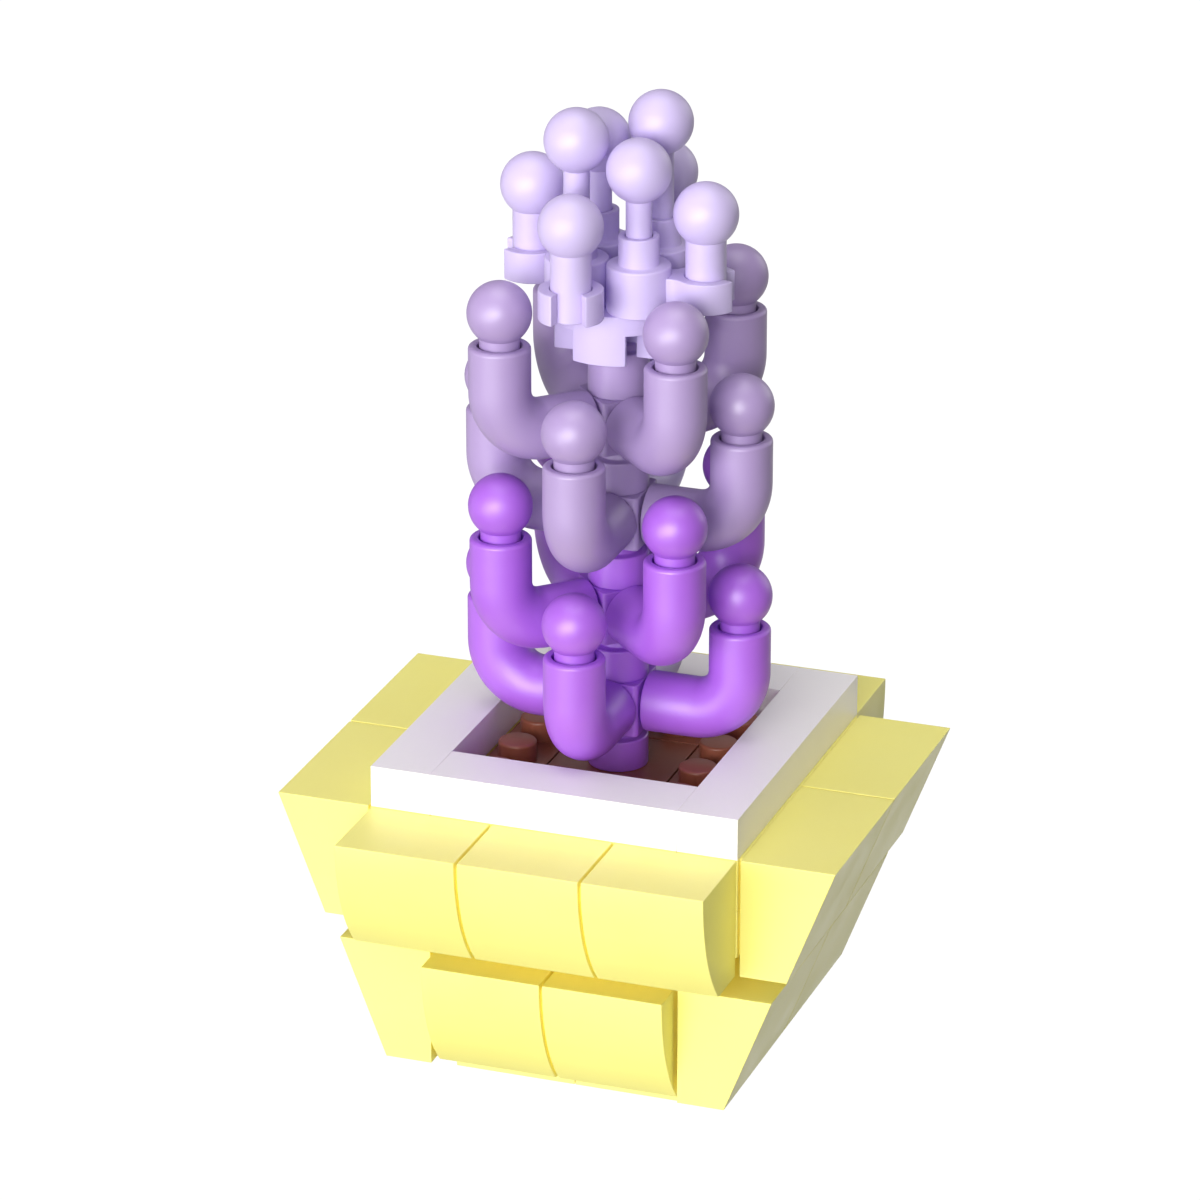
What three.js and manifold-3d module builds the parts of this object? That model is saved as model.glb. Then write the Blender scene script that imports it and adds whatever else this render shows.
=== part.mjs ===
// A potted hyacinth built from plastic building bricks, in millimetres, +Z up.
// The origin is the middle of the base's underside and the front faces -Y. Four tiers of elbow tubes
// with a ball in each mouth stand round a brick stem, under a cluster of pinned and clipped balls.
import * as THREE from 'three';
import { mergeVertices } from 'three/addons/utils/BufferGeometryUtils.js';
import Module from 'manifold-3d';

const wasm = await Module();
wasm.setup();

// ---------- driving dimensions ----------

const STUD = 8;               // pitch of the studs
const FIT = 0.3;              // clearance of a piece beside the one that it is pressed on
const SEAM = 0.1;             // what each block is cut back at either end, for the seam
const STUD_R = 2.45;          // radius of a stud that shows
const PEG_R = 2.3;            // radius of a stud that a piece is pressed on
const PEG_LENGTH = 1.7;       // how far such a stud stands out
const SOCKET_R = 2.6;         // radius of the hole it goes into
const SOCKET_DEPTH = 2;       // depth of that hole
const SINK = 1;               // how far joined shapes reach into each other

const BASE_HEIGHT = 3.95;     // how far the core reaches down below the pot's blocks
const TIER_HEIGHT = 15.4;     // height of each tier of those blocks
const TIER_GAP = 3.3;         // thickness of the plate set back between the tiers
const RIM_HEIGHT = 5.4;       // height of the square rim on the pot
const CORE_UPPER = 3 * STUD;  // half width of the core's upper part, and of the rim
const CORE_LOWER = 2 * STUD;  // half width of its lower part, and of the rim's opening
const BLOCK_TOP = 12.1;       // how far a block stands out at its top
const BLOCK_FOOT = 6.1;       // how far it stands out at its foot

const SOIL_DEPTH = 5.5;       // soil plates below the rim's top
const SOIL_THICK = 3.2;       // thickness of the soil plates
const SOIL_STUD = 2.75;       // height of the studs on the soil

const TIERS = 4;              // tiers of florets
const AROUND = 4;             // florets in a tier
const TIER_PITCH = 12.5;      // rise from a tier to the next
const LEG_ABOVE_RIM = 3.35;   // axis of the lowest tubes above the rim's top
const ROUND_R = 3.8;          // radius of the stem's round bricks
const COLLAR_R = 2.5;         // radius of the collars on the round bricks
const CUBE_HALF = 3.85;       // half width of the square brick in each tier
const CUBE_CORNER = 0.5;      // what its upright corners are cut back
const CUBE_BELOW = 3.7;       // bottom of the square brick below the tube's axis
const CUBE_ABOVE = 3.25;      // top of the square brick above that axis
const ROUND_HEIGHT = 4.6;     // height of a round brick without its collar
const LOWEST_ROUND = 4;       // the same of the lowest one, which stands on the soil
const HIGHEST_ROUND = 5.85;   // the same of the highest one, which carries the cluster

const TUBE_R = 3.85;          // outer radius of the elbow tubes
const BEND_R = 5.7;           // radius of the tube's centre line in the bend
const FLORET_R = 16;          // distance of a tube's upright leg from the stem's axis
const MOUTH_RISE = 11.65;     // tube's mouth above the axis of its lower leg
const BALL_R = 4;             // radius of every ball
const BALL_RISE = 4.1;        // a floret's ball above the mouth of its tube

const CROWN_R = 7.9;          // radius of the two by two round brick on the stem
const CROWN_HEIGHT = 6.35;    // its height
const CROWN_DISC = 2.5;       // thickness of its full disc, above the cut corners
const CROWN_ARM = 3.4;        // half width of the cross that is left below the disc
const CROWN_WALL = 1.6;       // thickness of the ends of the cross, round a recess below
const CROWN_RECESS = 0.7;     // depth of that recess
const CROWN_ABOVE_RIM = 50;   // bottom of the cross above the rim's top

const CLIP_BRICK_R = 3.95;    // radius of the round bricks with a clip
const CLIP_BRICK_HEIGHT = 6;  // their height without the collar
const CLIP_COLLAR = 3.65;     // height of their collar
const CLIP_TURN = 15;         // degrees a clip is turned off the stud grid
const CLIP_OUT = 8.13;        // middle of a clip from the axis of its brick
const CLIP_R = 4;             // outer radius of a clip
const CLIP_LOW = 0.85;        // bottom of the clip above the bottom of its brick
const CLIP_HEIGHT = 3.9;      // height of the clip
const CLIP_NECK = 1.95;       // half width of the neck between brick and clip
const CLIP_MOUTH = 34;        // half the angle that a clip is open, in degrees
const THIN_R = 1.6;           // radius of the thin pins
const THIN_LENGTH = 13;       // thin pin from the middle of its ball to its end
const THIN_RISE = [17.8, 21.5, 18.4, 20.75]; // each one's ball above the bottom of its brick
const BORE_DEPTH = 5.2;       // depth of the hole that a thin pin stands in
const THICK_R = 2.5;          // radius of the thick pins
const THICK_RISE = 12.5;      // clipped balls above the bottom of the brick

// facets: tubes and balls, pins and collars, hidden studs, and steps along a bend or a curve
const SIDES = 16;
const PIN_SIDES = 12;
const PEG_SIDES = 6;
const CROWN_SIDES = 32;
const BEND_STEPS = 5;
const CURVE_STEPS = 8;
const CLIP_STEPS = 12;

// heights that follow from the dimensions above
const LOWER_Z = BASE_HEIGHT;
const GAP_Z = LOWER_Z + TIER_HEIGHT;
const UPPER_Z = GAP_Z + TIER_GAP;
const POT_Z = UPPER_Z + TIER_HEIGHT;
const TOP_Z = POT_Z + RIM_HEIGHT;
const SOIL_Z = TOP_Z - SOIL_DEPTH;
const CROWN_Z = TOP_Z + CROWN_ABOVE_RIM;
const CLIP_BRICK_Z = CROWN_Z + CROWN_HEIGHT;

// ---------- materials ----------

const plastic = (color, roughness) => new THREE.MeshStandardMaterial({ color, roughness, metalness: 0 });
const YELLOW = plastic('#f6f28e', 0.4);
const WHITE = plastic('#f1e8f4', 0.35);
const BROWN = plastic('#5b3226', 0.5);
const PURPLE = plastic('#a45fe0', 0.35);
const LILAC = plastic('#c3a6d8', 0.4);
const LAVENDER = plastic('#e6dcf8', 0.35);

// ---------- solids ----------

// A closed geometry as a solid that can be joined and cut.
function solidOf(geometry) {
  const bare = geometry.clone();
  bare.deleteAttribute('normal');
  bare.deleteAttribute('uv');
  const merged = mergeVertices(bare, 1e-4);
  const corners = merged.index.array;
  const faces = [];
  for (let i = 0; i < corners.length; i += 3) {
    const [a, b, c] = corners.slice(i, i + 3);
    if (a !== b && b !== c && c !== a) faces.push(a, b, c);
  }
  return new wasm.Manifold(new wasm.Mesh({
    numProp: 3,
    vertProperties: new Float32Array(merged.attributes.position.array),
    triVerts: new Uint32Array(faces),
  }));
}

function geometryOf(solid) {
  const mesh = solid.getMesh();
  const geometry = new THREE.BufferGeometry();
  geometry.setAttribute('position', new THREE.BufferAttribute(new Float32Array(mesh.vertProperties), 3));
  geometry.setIndex(new THREE.BufferAttribute(new Uint32Array(mesh.triVerts), 1));
  return geometry;
}

const join = (first, ...others) => others.reduce((whole, other) => whole.add(other), first);
const cut = (first, ...tools) => tools.reduce((whole, tool) => whole.subtract(tool), first);

// A box from its lowest corner to its highest.
function box(low, high) {
  const size = high.map((value, i) => value - low[i]);
  const middle = high.map((value, i) => (value + low[i]) / 2);
  return solidOf(new THREE.BoxGeometry(...size).translate(...middle));
}

// An upright cylinder from one height to another.
function cylinder(radius, bottom, top, sides = SIDES, x = 0, y = 0) {
  const geometry = new THREE.CylinderGeometry(radius, radius, top - bottom, sides);
  return solidOf(geometry.rotateX(Math.PI / 2).translate(x, y, (bottom + top) / 2));
}

// A lying cylinder along X.
function lyingCylinder(radius, from, to, y, z, sides) {
  const geometry = new THREE.CylinderGeometry(radius, radius, to - from, sides);
  return solidOf(geometry.rotateZ(-Math.PI / 2).translate((from + to) / 2, y, z));
}

function ball(radius, x, z) {
  const geometry = new THREE.SphereGeometry(radius, SIDES, SIDES / 2);
  return solidOf(geometry.rotateX(Math.PI / 2).translate(x, 0, z));
}

// An outline in X and Z, drawn out along Y.
function drawnAlongY(outline, from, to) {
  const geometry = new THREE.ExtrudeGeometry(outline, { depth: to - from, bevelEnabled: false });
  return solidOf(geometry.rotateX(Math.PI / 2).translate(0, to, 0));
}

// ---------- the pot ----------

// The stud positions, across a block of so many studs, that its pegs stand at: the two outer ones.
const pegPlaces = (studs) => [-(studs - 1) / 2, (studs - 1) / 2].map((place) => place * STUD);

// A pot block, lying against the plane X = 0 and standing out along +X, with its foot at Z = 0.
function potBlock(studs, curved) {
  const half = studs * STUD / 2 - SEAM;
  const outline = new THREE.Shape();
  outline.moveTo(FIT, 0);
  outline.lineTo(BLOCK_FOOT + FIT, 0);
  if (curved) {
    // an arc that is upright at the top: its radius follows from the block's height and the step in
    const stepIn = BLOCK_TOP - BLOCK_FOOT;
    const radius = (TIER_HEIGHT ** 2 + stepIn ** 2) / (2 * stepIn);
    const sweep = Math.asin(TIER_HEIGHT / radius);
    for (let i = 1; i <= CURVE_STEPS; i += 1) {
      const angle = sweep * (1 - i / CURVE_STEPS);
      const out = BLOCK_TOP + FIT - radius * (1 - Math.cos(angle));
      outline.lineTo(out, TIER_HEIGHT - radius * Math.sin(angle));
    }
  } else {
    outline.lineTo(BLOCK_TOP + FIT, TIER_HEIGHT);
  }
  outline.lineTo(FIT, TIER_HEIGHT);
  const sockets = pegPlaces(studs).map((y) => (
    lyingCylinder(SOCKET_R, FIT - SINK, FIT + SOCKET_DEPTH, y, TIER_HEIGHT / 2, PEG_SIDES)));
  return geometryOf(cut(drawnAlongY(outline, -half, half), ...sockets));
}

// The blocks on one side of the core: their name, tier, size and places along the side.
const SIDE_ROW = { studs: 3, curved: false, middles: [-1.5 * STUD, 1.5 * STUD] };
const UPPER_END_ROW = { studs: 2, curved: true, middles: [-2 * STUD, 0, 2 * STUD] };
const LOWER_END_ROW = { studs: 2, curved: true, middles: [-STUD, STUD] };
const ROWS = [
  { name: 'upper_right', turn: 0, bottom: UPPER_Z, out: CORE_UPPER, ...SIDE_ROW },
  { name: 'upper_left', turn: 2, bottom: UPPER_Z, out: CORE_UPPER, ...SIDE_ROW },
  { name: 'upper_back', turn: 1, bottom: UPPER_Z, out: CORE_UPPER, ...UPPER_END_ROW },
  { name: 'upper_front', turn: 3, bottom: UPPER_Z, out: CORE_UPPER, ...UPPER_END_ROW },
  { name: 'lower_right', turn: 0, bottom: LOWER_Z, out: CORE_LOWER, ...SIDE_ROW },
  { name: 'lower_left', turn: 2, bottom: LOWER_Z, out: CORE_LOWER, ...SIDE_ROW },
  { name: 'lower_back', turn: 1, bottom: LOWER_Z, out: CORE_LOWER, ...LOWER_END_ROW },
  { name: 'lower_front', turn: 3, bottom: LOWER_Z, out: CORE_LOWER, ...LOWER_END_ROW },
];

// The bricks and plates inside, as one body: two blocks with a plate between them and side studs.
function potCore() {
  const lower = box([-CORE_LOWER, -CORE_LOWER, 0], [CORE_LOWER, CORE_LOWER, GAP_Z + SINK]);
  const upper = box([-CORE_UPPER, -CORE_UPPER, GAP_Z], [CORE_UPPER, CORE_UPPER, POT_Z]);
  const bed = box([-CORE_LOWER, -CORE_LOWER, SOIL_Z - SOIL_THICK], [CORE_LOWER, CORE_LOWER, TOP_Z]);
  const pegs = ROWS.flatMap((row) => {
    const places = row.middles.flatMap((middle) => pegPlaces(row.studs).map((place) => middle + place));
    // the lower side blocks reach past the core, so their outermost holes stay empty
    return places.filter((place) => Math.abs(place) < row.out).map((place) => {
      const z = row.bottom + TIER_HEIGHT / 2;
      const peg = lyingCylinder(PEG_R, row.out - SINK, row.out + PEG_LENGTH, place, z, PEG_SIDES);
      return peg.rotate([0, 0, 90 * row.turn]);
    });
  });
  return geometryOf(join(cut(join(upper, lower), bed), ...pegs));
}

// A stretch of the rim between two corners in plan.
function rimStrip(lowX, lowY, highX, highY) {
  return geometryOf(box([lowX + SEAM, lowY + SEAM, POT_Z], [highX - SEAM, highY - SEAM, TOP_Z]));
}

// A soil plate between two X values, with its studs at the given places.
function soilPlate(lowX, highX, studs) {
  const low = [lowX + SEAM, -CORE_LOWER + SEAM, SOIL_Z - SOIL_THICK];
  const high = [highX - SEAM, CORE_LOWER - SEAM, SOIL_Z];
  const round = studs.map(([x, y]) => (
    cylinder(STUD_R, SOIL_Z - SINK, SOIL_Z + SOIL_STUD, PIN_SIDES, x * STUD, y * STUD)));
  return geometryOf(join(box(low, high), ...round));
}

// ---------- the stem ----------

// A round brick with a narrower collar on top, from its bottom.
function roundBrick(bottom, height, collarTop) {
  const body = cylinder(ROUND_R, bottom, bottom + height);
  return join(body, cylinder(COLLAR_R, bottom + height - SINK, collarTop, PIN_SIDES));
}

// One tier of the stem about the origin of its tube axes: the square brick with its side studs,
// and the round brick on it, whose collar reaches up to what stands on it.
function stemTier(roundHeight, collarTop) {
  // an octagon with long and short sides: the square with its corners cut
  const flat = CUBE_HALF - CUBE_CORNER;
  const corners = [0, 1, 2, 3].flatMap((i) => [-flat, flat].map((along) => (
    new THREE.Vector2(CUBE_HALF, along).rotateAround(new THREE.Vector2(), i * Math.PI / 2))));
  const options = { depth: CUBE_BELOW + CUBE_ABOVE, bevelEnabled: false };
  const drawn = new THREE.ExtrudeGeometry(new THREE.Shape(corners), options);
  const cube = solidOf(drawn.translate(0, 0, -CUBE_BELOW));
  const peg = lyingCylinder(PEG_R, CUBE_HALF - SINK, CUBE_HALF + PEG_LENGTH, 0, 0, PEG_SIDES);
  const pegs = Array.from({ length: AROUND }, (_, i) => peg.rotate([0, 0, 360 / AROUND * i]));
  // the round brick starts inside the square one, so that the two join
  return geometryOf(join(cube, ...pegs, roundBrick(0, CUBE_ABOVE + roundHeight, collarTop)));
}

// ---------- the florets ----------

// The centre line of an elbow tube: out along X, round the bend and up. Its samples are spread over
// the bend, with one step on each straight stretch.
class ElbowPath extends THREE.Curve {
  getUtoTmapping(u) {
    return u;
  }

  getPoint(t) {
    const bendStart = FLORET_R - BEND_R;
    const steps = BEND_STEPS + 2;
    const step = t * steps;
    if (step <= 1) {
      const start = CUBE_HALF + FIT;
      return new THREE.Vector3(start + (bendStart - start) * step, 0, 0);
    }
    if (step >= steps - 1) {
      return new THREE.Vector3(FLORET_R, 0, BEND_R + (MOUTH_RISE - BEND_R) * (step - steps + 1));
    }
    const angle = (step - 1) / BEND_STEPS * Math.PI / 2;
    const x = bendStart + BEND_R * Math.sin(angle);
    return new THREE.Vector3(x, 0, BEND_R * (1 - Math.cos(angle)));
  }
}

function circleShape(radius) {
  const points = Array.from({ length: SIDES }, (_, i) => {
    const angle = 2 * Math.PI * i / SIDES;
    return new THREE.Vector2(radius * Math.cos(angle), radius * Math.sin(angle));
  });
  return new THREE.Shape(points);
}

// An elbow tube, with the socket for the stem's side stud, and the ball pressed into its mouth.
function floret() {
  const options = { steps: BEND_STEPS + 2, extrudePath: new ElbowPath() };
  const tube = solidOf(new THREE.ExtrudeGeometry(circleShape(TUBE_R), options));
  const start = CUBE_HALF + FIT;
  const socket = lyingCylinder(SOCKET_R, start - SINK, start + SOCKET_DEPTH, 0, 0, PEG_SIDES);
  const ballZ = MOUTH_RISE + BALL_RISE;
  const pin = cylinder(COLLAR_R, MOUTH_RISE - SINK, ballZ, PIN_SIDES, FLORET_R);
  return geometryOf(join(cut(tube, socket), pin, ball(BALL_R, FLORET_R, ballZ)));
}

// ---------- the top cluster ----------

// The two by two round brick: a disc on a cross, with a stud for each of the round bricks on it.
function crown() {
  const crossTop = CROWN_HEIGHT - CROWN_DISC;
  const corners = [[1, 1], [-1, 1], [-1, -1], [1, -1]];
  const notches = corners.map(([x, y]) => {
    const near = [x * CROWN_ARM, y * CROWN_ARM];
    const far = [x * 2 * CROWN_R, y * 2 * CROWN_R];
    const low = near.map((value, i) => Math.min(value, far[i]));
    const high = near.map((value, i) => Math.max(value, far[i]));
    return box([...low, -SINK], [...high, crossTop]);
  });
  const studs = corners.map(([x, y]) => (
    cylinder(PEG_R, crossTop, CROWN_HEIGHT + PEG_LENGTH, PEG_SIDES, x * STUD / 2, y * STUD / 2)));
  const recess = cylinder(CROWN_R - CROWN_WALL, -SINK, CROWN_RECESS, CROWN_SIDES);
  const body = cut(cylinder(CROWN_R, 0, CROWN_HEIGHT, CROWN_SIDES), ...notches, recess);
  return geometryOf(join(body, ...studs));
}

// The clip as an open ring round its own middle, open towards +X.
function clipRing() {
  const mouth = CLIP_MOUTH * Math.PI / 180;
  const outline = new THREE.Shape();
  const inner = THICK_R + FIT;
  outline.absarc(0, 0, CLIP_R, mouth, 2 * Math.PI - mouth, false);
  outline.absarc(0, 0, inner, 2 * Math.PI - mouth, mouth, true);
  const options = { depth: CLIP_HEIGHT, bevelEnabled: false, curveSegments: CLIP_STEPS };
  return solidOf(new THREE.ExtrudeGeometry(outline, options));
}

// A round brick with a collar, the bore for a thin pin, and a clip out along +X.
function clipBrick() {
  const body = cylinder(CLIP_BRICK_R, 0, CLIP_BRICK_HEIGHT);
  const top = CLIP_BRICK_HEIGHT + CLIP_COLLAR;
  const collar = cylinder(COLLAR_R, CLIP_BRICK_HEIGHT - SINK, top, PIN_SIDES);
  const neckEnd = CLIP_OUT - (THICK_R + FIT + CLIP_R) / 2;
  const neck = box([0, -CLIP_NECK, CLIP_LOW], [neckEnd, CLIP_NECK, CLIP_LOW + CLIP_HEIGHT]);
  const ring = clipRing().translate([CLIP_OUT, 0, CLIP_LOW]);
  const bore = cylinder(THIN_R + FIT, top - BORE_DEPTH, top + SINK, PIN_SIDES);
  const socket = cylinder(SOCKET_R, -SINK, SOCKET_DEPTH, PEG_SIDES);
  return geometryOf(cut(join(body, collar, neck, ring), bore, socket));
}

// A ball on a pin that hangs down from it, about the ball's middle.
function pinnedBall(radius, length) {
  return geometryOf(join(ball(BALL_R, 0, 0), cylinder(radius, -length, 0, PIN_SIDES)));
}

// ---------- the whole ----------

const model = new THREE.Group();

function place(parent, name, geometry, material) {
  const mesh = new THREE.Mesh(geometry, material);
  mesh.name = name;
  parent.add(mesh);
  return mesh;
}

function groupAt(parent, x, y, z, degrees) {
  const group = new THREE.Group();
  group.position.set(x, y, z);
  group.rotation.z = degrees * Math.PI / 180;
  parent.add(group);
  return group;
}

// pot
place(model, 'pot_core', potCore(), YELLOW);
ROWS.forEach((row) => {
  const side = groupAt(model, 0, 0, row.bottom, 90 * row.turn);
  row.middles.forEach((middle, i) => {
    const kind = row.curved ? 'curved_block' : 'side_block';
    const block = place(side, `${kind}_${row.name}_${i + 1}`, potBlock(row.studs, row.curved), YELLOW);
    block.position.set(row.out, middle, 0);
  });
});
place(model, 'rim_right', rimStrip(CORE_LOWER, -CORE_UPPER, CORE_UPPER, CORE_UPPER), WHITE);
place(model, 'rim_left', rimStrip(-CORE_UPPER, -CORE_UPPER, -CORE_LOWER, CORE_UPPER), WHITE);
place(model, 'rim_front', rimStrip(-CORE_LOWER, -CORE_UPPER, CORE_LOWER, -CORE_LOWER), WHITE);
place(model, 'rim_back', rimStrip(-CORE_LOWER, CORE_LOWER, CORE_LOWER, CORE_UPPER), WHITE);

// soil: a full row of studs at each side, and two studs at either end of the middle plate
const OUTER_STUD = 1.5;
const INNER_STUD = 0.5;
const COLUMN = [-OUTER_STUD, -INNER_STUD, INNER_STUD, OUTER_STUD];
const ENDS = [-OUTER_STUD, OUTER_STUD].flatMap((y) => [[-INNER_STUD, y], [INNER_STUD, y]]);
place(model, 'soil_left', soilPlate(-CORE_LOWER, -STUD, COLUMN.map((y) => [-OUTER_STUD, y])), BROWN);
place(model, 'soil_right', soilPlate(STUD, CORE_LOWER, COLUMN.map((y) => [OUTER_STUD, y])), BROWN);
place(model, 'soil_middle', soilPlate(-STUD, STUD, ENDS), BROWN);

// stem and florets: every other tier is turned by half the angle between two florets
const LEG_Z = TOP_Z + LEG_ABOVE_RIM;
const base = roundBrick(SOIL_Z, LOWEST_ROUND, LEG_Z - CUBE_BELOW);
place(model, 'stem_base', geometryOf(base), PURPLE);
for (let tier = 0; tier < TIERS; tier += 1) {
  const low = tier < TIERS / 2;
  const axisZ = LEG_Z + TIER_PITCH * tier;
  const highest = tier === TIERS - 1;
  const roundHeight = highest ? HIGHEST_ROUND : ROUND_HEIGHT;
  const collarTop = highest ? CROWN_Z + CROWN_RECESS - axisZ : TIER_PITCH - CUBE_BELOW;
  const about = groupAt(model, 0, 0, axisZ, tier % 2 * 180 / AROUND);
  const color = low ? PURPLE : LILAC;
  place(about, `stem_tier_${tier + 1}`, stemTier(roundHeight, collarTop), color);
  for (let i = 0; i < AROUND; i += 1) {
    const spoke = groupAt(about, 0, 0, 0, 360 / AROUND * i);
    // the tubes at the very back are pale ones
    const atBack = tier % 2 === 0 && i === 1;
    place(spoke, `floret_${tier + 1}_${i + 1}`, floret(), atBack ? LAVENDER : color);
  }
}

// top cluster: the four round bricks are one brick turned round the stem's axis in quarter turns
place(groupAt(model, 0, 0, CROWN_Z, 0), 'crown_brick', crown(), LAVENDER);
for (let i = 0; i < AROUND; i += 1) {
  const quarter = groupAt(model, 0, 0, CLIP_BRICK_Z, 90 * i);
  const corner = groupAt(quarter, STUD / 2, -STUD / 2, 0, CLIP_TURN);
  place(corner, `clip_brick_${i + 1}`, clipBrick(), LAVENDER);
  // the thin pins are pushed in more and less deep
  const thin = pinnedBall(THIN_R, THIN_LENGTH);
  place(corner, `thin_pin_ball_${i + 1}`, thin, LAVENDER).position.z = THIN_RISE[i];
  const thick = pinnedBall(THICK_R, THICK_RISE - CLIP_LOW);
  place(corner, `clipped_ball_${i + 1}`, thick, LAVENDER).position.set(CLIP_OUT, 0, THICK_RISE);
}

export default model;
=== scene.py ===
"""The looks of a potted hyacinth built from plastic building bricks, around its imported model.

The pieces are made in millimetres, +Z up with the front facing -Y, and are scaled to metres last.
"""

import math

import bmesh
import bpy
from mathutils import Matrix, Vector


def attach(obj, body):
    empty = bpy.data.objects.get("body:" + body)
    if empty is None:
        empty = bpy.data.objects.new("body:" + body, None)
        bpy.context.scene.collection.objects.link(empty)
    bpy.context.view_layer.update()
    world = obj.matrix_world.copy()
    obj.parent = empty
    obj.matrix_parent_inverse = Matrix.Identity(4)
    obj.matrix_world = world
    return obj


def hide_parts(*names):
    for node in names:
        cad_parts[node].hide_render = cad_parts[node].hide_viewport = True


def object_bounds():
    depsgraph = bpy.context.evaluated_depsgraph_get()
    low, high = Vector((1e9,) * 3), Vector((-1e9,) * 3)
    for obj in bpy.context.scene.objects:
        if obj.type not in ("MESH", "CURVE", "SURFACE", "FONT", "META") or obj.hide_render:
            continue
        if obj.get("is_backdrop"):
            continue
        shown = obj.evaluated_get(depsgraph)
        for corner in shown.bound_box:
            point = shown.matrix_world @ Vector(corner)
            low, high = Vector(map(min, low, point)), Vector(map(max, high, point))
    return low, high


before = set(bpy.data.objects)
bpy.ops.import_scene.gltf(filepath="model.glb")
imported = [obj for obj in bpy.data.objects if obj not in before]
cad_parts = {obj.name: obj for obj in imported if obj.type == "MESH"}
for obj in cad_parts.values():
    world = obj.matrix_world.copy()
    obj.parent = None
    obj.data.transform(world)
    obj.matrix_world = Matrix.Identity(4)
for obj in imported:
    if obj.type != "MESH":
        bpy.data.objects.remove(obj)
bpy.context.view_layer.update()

MM = 0.001
IN_PLACE = Matrix.Identity(4)

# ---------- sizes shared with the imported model, in millimetres and degrees ----------

STUD = 8  # pitch of the studs
FIT = 0.3  # clearance of a piece beside the one that it is pressed on
SEAM = 0.1  # what each block is cut back at either end, for the seam
STUD_R = 2.45  # radius of a stud that shows
PEG_R = 2.3  # radius of a stud that a piece is pressed on
PEG_LENGTH = 1.7  # how far such a stud stands out
SOCKET_R = 2.6  # radius of the hole it goes into
SOCKET_DEPTH = 2  # depth of that hole
SINK = 1  # how far joined shapes reach into each other

BASE_HEIGHT = 3.95  # how far the core reaches down below the pot's blocks
TIER_HEIGHT = 15.4  # height of each tier of those blocks
TIER_GAP = 3.3  # thickness of the plate set back between the tiers
RIM_HEIGHT = 5.4  # height of the square rim on the pot
CORE_UPPER = 3 * STUD  # half width of the core's upper part, and of the rim
CORE_LOWER = 2 * STUD  # half width of its lower part, and of the rim's opening
BLOCK_TOP = 12.1  # how far a block stands out at its top
BLOCK_FOOT = 6.1  # how far it stands out at its foot

SOIL_DEPTH = 5.5  # soil plates below the rim's top
SOIL_THICK = 3.2  # thickness of the soil plates
SOIL_STUD = 2.75  # height of the studs on the soil

TIERS = 4  # tiers of florets
AROUND = 4  # florets in a tier, and clips in the cluster
TIER_PITCH = 12.5  # rise from a tier to the next
LEG_ABOVE_RIM = 3.35  # axis of the lowest tubes above the rim's top
ROUND_R = 3.8  # radius of the stem's round bricks
COLLAR_R = 2.5  # radius of the collars on the round bricks
CUBE_HALF = 3.85  # half width of the square brick in each tier
CUBE_BELOW = 3.7  # bottom of the square brick below the tube's axis
CUBE_ABOVE = 3.25  # top of the square brick above that axis
ROUND_HEIGHT = 4.6  # height of a round brick without its collar
LOWEST_ROUND = 4  # the same of the lowest one, which stands on the soil
HIGHEST_ROUND = 5.85  # the same of the highest one, which carries the cluster

TUBE_R = 3.85  # outer radius of the elbow tubes
BEND_R = 5.7  # radius of the tube's centre line in the bend
FLORET_R = 16  # distance of a tube's upright leg from the stem's axis
MOUTH_RISE = 11.65  # tube's mouth above the axis of its lower leg
BALL_R = 4  # radius of every ball
BALL_RISE = 4.1  # a floret's ball above the mouth of its tube

CROWN_R = 7.9  # radius of the two by two round brick on the stem
CROWN_HEIGHT = 6.35  # its height
CROWN_DISC = 2.5  # thickness of its full disc, above the cut corners
CROWN_ARM = 3.4  # half width of the cross that is left below the disc
CROWN_RECESS = 0.7  # depth of the recess below, for the collar of the highest brick
CROWN_ABOVE_RIM = 50  # bottom of the cross above the rim's top

CLIP_BRICK_R = 3.95  # radius of the round bricks with a clip
CLIP_BRICK_HEIGHT = 6  # their height without the collar
CLIP_COLLAR = 3.65  # height of their collar
CLIP_TURN = 15  # degrees a clip is turned off the stud grid
CLIP_OUT = 8.13  # middle of a clip from the axis of its brick
CLIP_R = 4  # outer radius of a clip
CLIP_LOW = 0.85  # bottom of the clip above the bottom of its brick
CLIP_HEIGHT = 3.9  # height of the clip
CLIP_NECK = 1.95  # half width of the neck between brick and clip
CLIP_MOUTH = 34  # half the angle that a clip is open inside, in degrees
THIN_R = 1.6  # radius of the thin pins
THIN_LENGTH = 13  # thin pin from the middle of its ball to its end
THIN_RISE = (17.8, 21.5, 18.4, 20.75)  # each one's ball above the bottom of its brick
BORE_DEPTH = 5.2  # depth of the hole that a thin pin stands in
THICK_R = 2.5  # radius of the thick pins
THICK_RISE = 12.5  # clipped balls above the bottom of the brick

LOWER_Z = BASE_HEIGHT
GAP_Z = LOWER_Z + TIER_HEIGHT
UPPER_Z = GAP_Z + TIER_GAP
POT_Z = UPPER_Z + TIER_HEIGHT
TOP_Z = POT_Z + RIM_HEIGHT
SOIL_Z = TOP_Z - SOIL_DEPTH
LEG_Z = TOP_Z + LEG_ABOVE_RIM
CROWN_Z = TOP_Z + CROWN_ABOVE_RIM
CLIP_BRICK_Z = CROWN_Z + CROWN_HEIGHT

# ---------- materials ----------

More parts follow.
